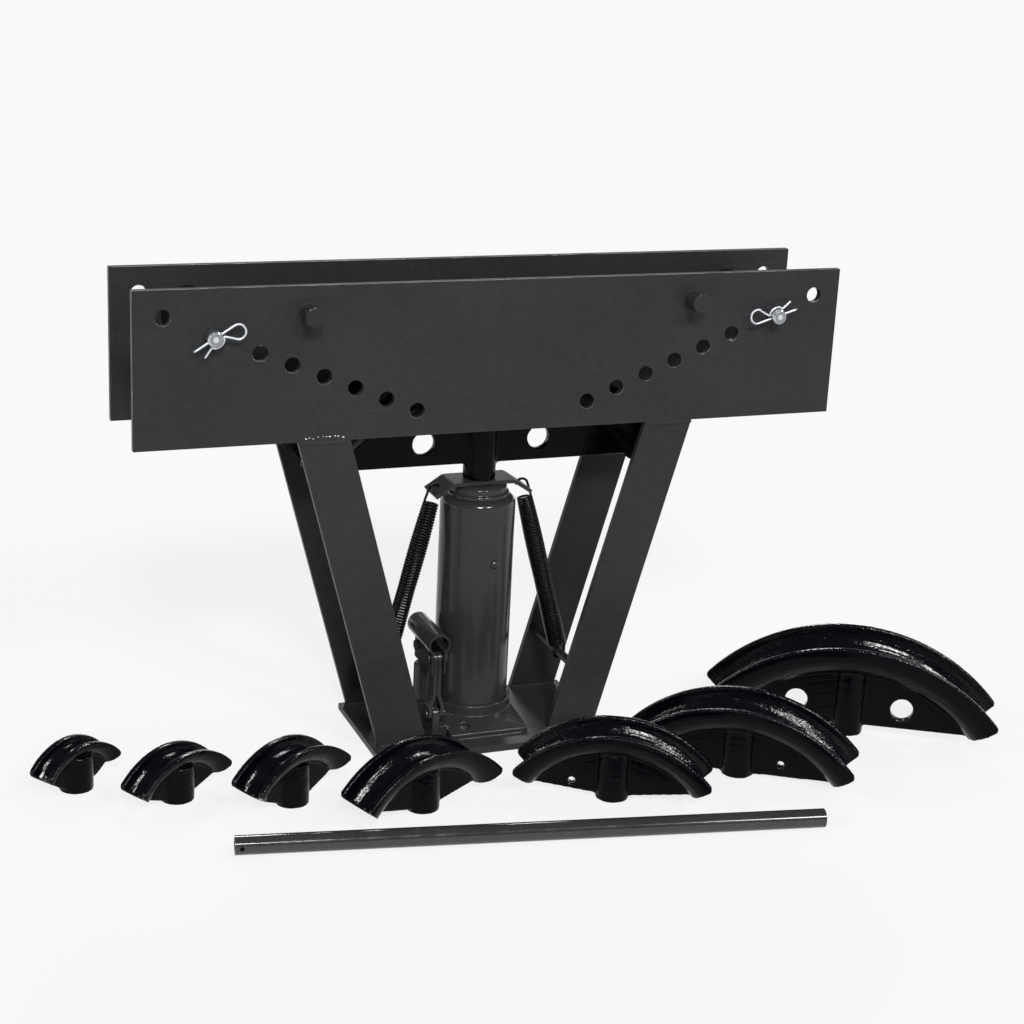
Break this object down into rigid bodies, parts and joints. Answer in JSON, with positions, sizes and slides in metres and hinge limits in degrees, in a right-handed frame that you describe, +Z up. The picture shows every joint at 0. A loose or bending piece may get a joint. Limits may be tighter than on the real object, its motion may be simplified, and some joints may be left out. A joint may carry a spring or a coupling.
{
  "type": "hydraulic pipe bender",
  "caption": "Floor-standing frame with a bottle jack that drives a curved die up against two rollers to bend pipe, with a set of loose dies and a pump handle.",
  "frame": {"origin": "on the jack's axis, on the face that the base plate stands on", "axes": "+X along the side plates, -Y towards the side with the pins' clips, +Z up"},
  "size_m": [1.0989, 0.4426, 0.532],
  "materials": {
    "frame_paint": "semi-gloss charcoal paint",
    "die_enamel": "gloss black enamel",
    "roller_black": "black oxide",
    "bright_steel": "zinc plated or ground",
    "spring_black": "black oxide",
    "black_rubber": "matt"
  },
  "bodies": {
    "frame": {"base_plate": "frame_paint", "front_left_leg": "frame_paint", "front_right_leg": "frame_paint", "rear_left_leg": "frame_paint", "rear_right_leg": "frame_paint", "front_side_plate": "frame_paint", "rear_side_plate": "frame_paint", "plate_pegs": "frame_paint", "left_spring_rod": "frame_paint", "right_spring_rod": "frame_paint", "jack_base": "frame_paint", "base_plug": "frame_paint", "check_balls": "bright_steel", "pressure_cylinder": "bright_steel", "reservoir_tank": "frame_paint", "tank_gasket": "black_rubber", "tank_nut": "frame_paint", "ram_wiper": "black_rubber", "filler_plug": "black_rubber", "pump_barrel": "frame_paint", "left_return_spring": "spring_black", "right_return_spring": "spring_black"},
    "ram": {"ram_rod": "bright_steel", "ram_piston": "bright_steel", "piston_cup": "black_rubber", "spring_bracket": "frame_paint"},
    "ram_die": {"three_inch_die": "die_enamel"},
    "left_roller": {"left_roller": "roller_black"},
    "right_roller": {"right_roller": "roller_black"},
    "left_pin": {"left_roller_pin": "bright_steel", "left_pin_clip": "bright_steel"},
    "right_pin": {"right_roller_pin": "bright_steel", "right_pin_clip": "bright_steel"},
    "pump_link": {"pump_link": "frame_paint", "link_foot_pin": "bright_steel"},
    "handle_socket": {"handle_socket": "frame_paint", "link_head_pin": "bright_steel"},
    "pump_plunger": {"pump_plunger": "bright_steel", "plunger_seal": "black_rubber", "plunger_pin": "bright_steel"},
    "release_valve": {"release_valve": "bright_steel"},
    "pump_handle": {"pump_handle": "frame_paint"},
    "half_inch_die": {"half_inch_die": "die_enamel"},
    "three_quarter_inch_die": {"three_quarter_inch_die": "die_enamel"},
    "one_inch_die": {"one_inch_die": "die_enamel"},
    "one_and_quarter_inch_die": {"one_and_quarter_inch_die": "die_enamel"},
    "one_and_half_inch_die": {"one_and_half_inch_die": "die_enamel"},
    "two_inch_die": {"two_inch_die": "die_enamel"},
    "two_and_half_inch_die": {"two_and_half_inch_die": "die_enamel"}
  },
  "joints": [
    {"name": "ram_slide", "type": "slide", "parent": "frame", "child": "ram", "axis": [0, 0, 1], "range_m": [0, 0.21], "stiffness_N_per_m": 1500, "springref_m": -0.03, "deforming": ["left_return_spring", "right_return_spring"]},
    {"name": "ram_die_lift", "type": "slide", "parent": "ram", "child": "ram_die", "axis": [0, 0, 1], "range_m": [0, 0.12]},
    {"name": "left_roller_spin", "type": "hinge", "parent": "frame", "child": "left_roller", "pos_m": [-0.319, 0, 0.4832], "axis": [0, 1, 0], "continuous": true},
    {"name": "right_roller_spin", "type": "hinge", "parent": "frame", "child": "right_roller", "pos_m": [0.319, 0, 0.4832], "axis": [0, 1, 0], "continuous": true},
    {"name": "left_pin_turn", "type": "hinge", "parent": "frame", "child": "left_pin", "pos_m": [-0.319, 0, 0.4832], "axis": [0, 1, 0], "continuous": true},
    {"name": "right_pin_turn", "type": "hinge", "parent": "frame", "child": "right_pin", "pos_m": [0.319, 0, 0.4832], "axis": [0, 1, 0], "continuous": true},
    {"name": "link_swing", "type": "hinge", "parent": "frame", "child": "pump_link", "pos_m": [-0.062, -0.054, 0.037], "axis": [1, 0, 0], "range_deg": [-3.92, 0]},
    {"name": "socket_swing", "type": "hinge", "parent": "pump_link", "child": "handle_socket", "pos_m": [-0.062, -0.054, 0.104], "axis": [1, 0, 0], "range_deg": [0, 30.9]},
    {"name": "plunger_slide", "type": "slide", "parent": "frame", "child": "pump_plunger", "axis": [0, 0, 1], "range_m": [0, 0.019]},
    {"name": "release_valve_turn", "type": "hinge", "parent": "frame", "child": "release_valve", "pos_m": [-0.078, 0.026, 0.02], "axis": [-1, 0, 0], "range_deg": [0, 360]},
    {"name": "half_inch_die_lift", "type": "slide", "parent": "frame", "child": "half_inch_die", "axis": [0, 0, 1], "range_m": [0, 0.15]},
    {"name": "three_quarter_inch_die_lift", "type": "slide", "parent": "frame", "child": "three_quarter_inch_die", "axis": [0, 0, 1], "range_m": [0, 0.15]},
    {"name": "one_inch_die_lift", "type": "slide", "parent": "frame", "child": "one_inch_die", "axis": [0, 0, 1], "range_m": [0, 0.15]},
    {"name": "one_and_quarter_inch_die_lift", "type": "slide", "parent": "frame", "child": "one_and_quarter_inch_die", "axis": [0, 0, 1], "range_m": [0, 0.15]},
    {"name": "one_and_half_inch_die_lift", "type": "slide", "parent": "frame", "child": "one_and_half_inch_die", "axis": [0, 0, 1], "range_m": [0, 0.15]},
    {"name": "two_inch_die_lift", "type": "slide", "parent": "frame", "child": "two_inch_die", "axis": [0, 0, 1], "range_m": [0, 0.15]},
    {"name": "two_and_half_inch_die_lift", "type": "slide", "parent": "frame", "child": "two_and_half_inch_die", "axis": [0, 0, 1], "range_m": [0, 0.15]},
    {"name": "pump_handle_lift", "type": "slide", "parent": "frame", "child": "pump_handle", "axis": [0, 0, 1], "range_m": [0, 0.3]}
  ],
  "couplings": [
    {"joint": "link_swing", "follows": "socket_swing", "ratio": -0.1267},
    {"joint": "plunger_slide", "follows": "socket_swing", "m_per_rad": 0.03505}
  ]
}
